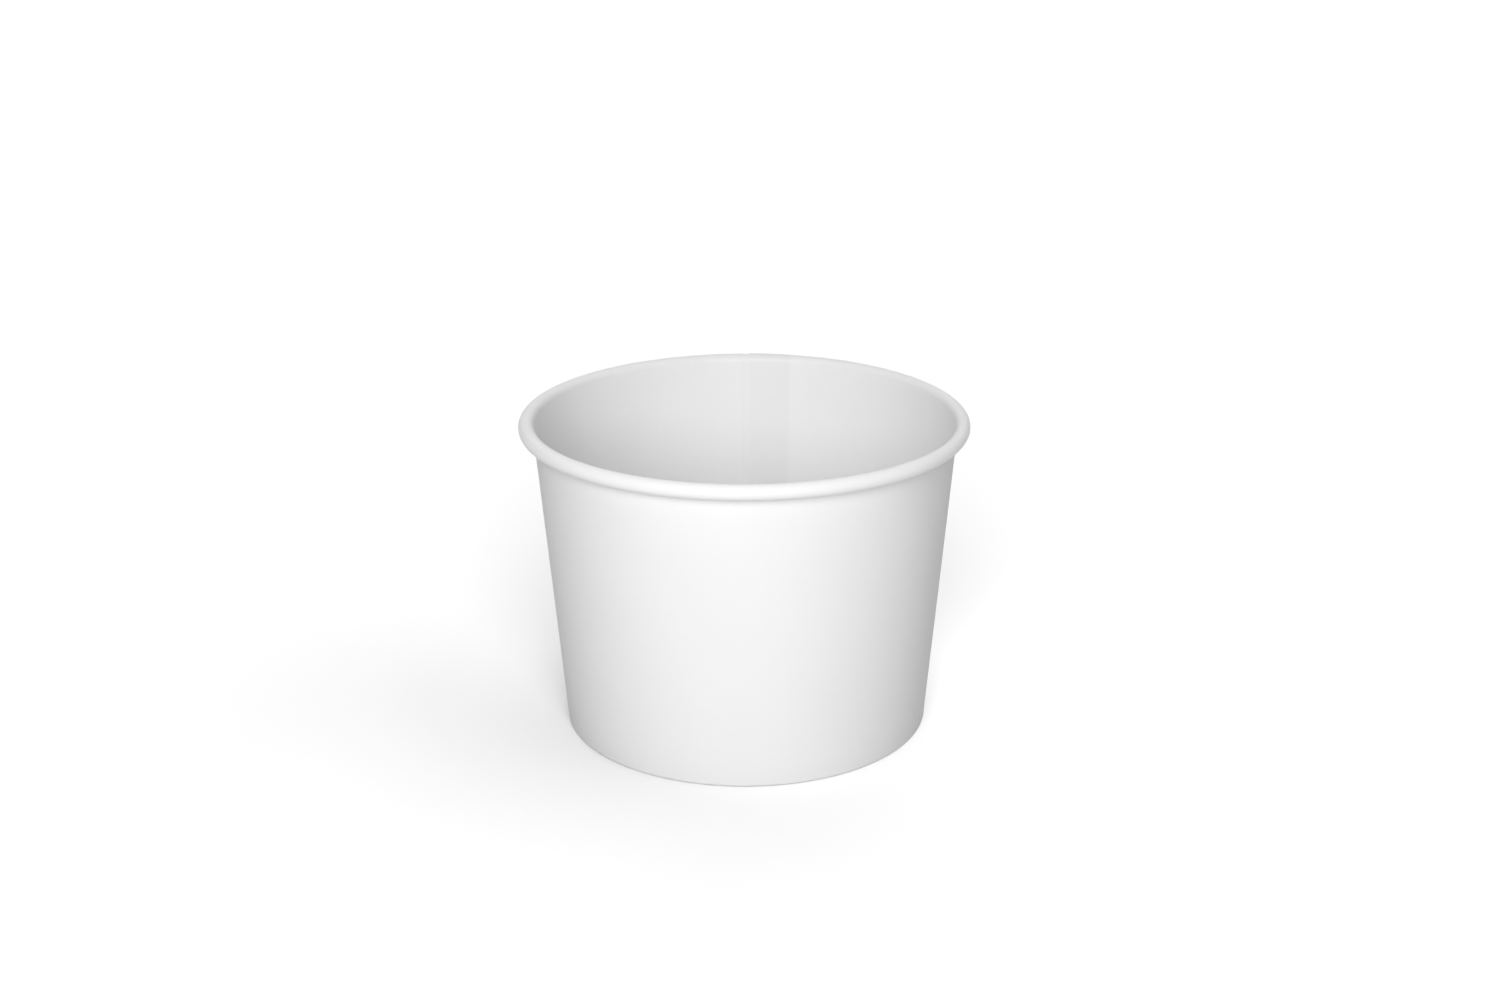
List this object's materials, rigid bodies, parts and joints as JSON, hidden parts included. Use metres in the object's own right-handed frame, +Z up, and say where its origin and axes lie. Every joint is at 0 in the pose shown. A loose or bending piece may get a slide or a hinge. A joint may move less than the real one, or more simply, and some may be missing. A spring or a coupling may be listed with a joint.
{
  "type": "soup cup",
  "caption": "Plain white paper soup cup with a rolled rim, a straight lap seam, tapered walls and a recessed bottom held in a folded foot.",
  "frame": {"origin": "on the table under the middle of the cup, in the plane of the foot's flat ring", "axes": "+Z up along the cup's axis, from the foot to the rim; +Y towards the lap seam, which lies at the back; +X to the right with the seam behind"},
  "size_m": [0.09, 0.09, 0.064],
  "materials": {
    "sidewall_board": "white cup board, satin poly coating inside and over the rolled rim, smooth matte outside",
    "bottom_board": "white cup board, satin poly coating on the side that faces the food"
  },
  "bodies": {
    "root": {"sidewall": "sidewall_board", "bottom": "bottom_board"}
  },
  "joints": []
}
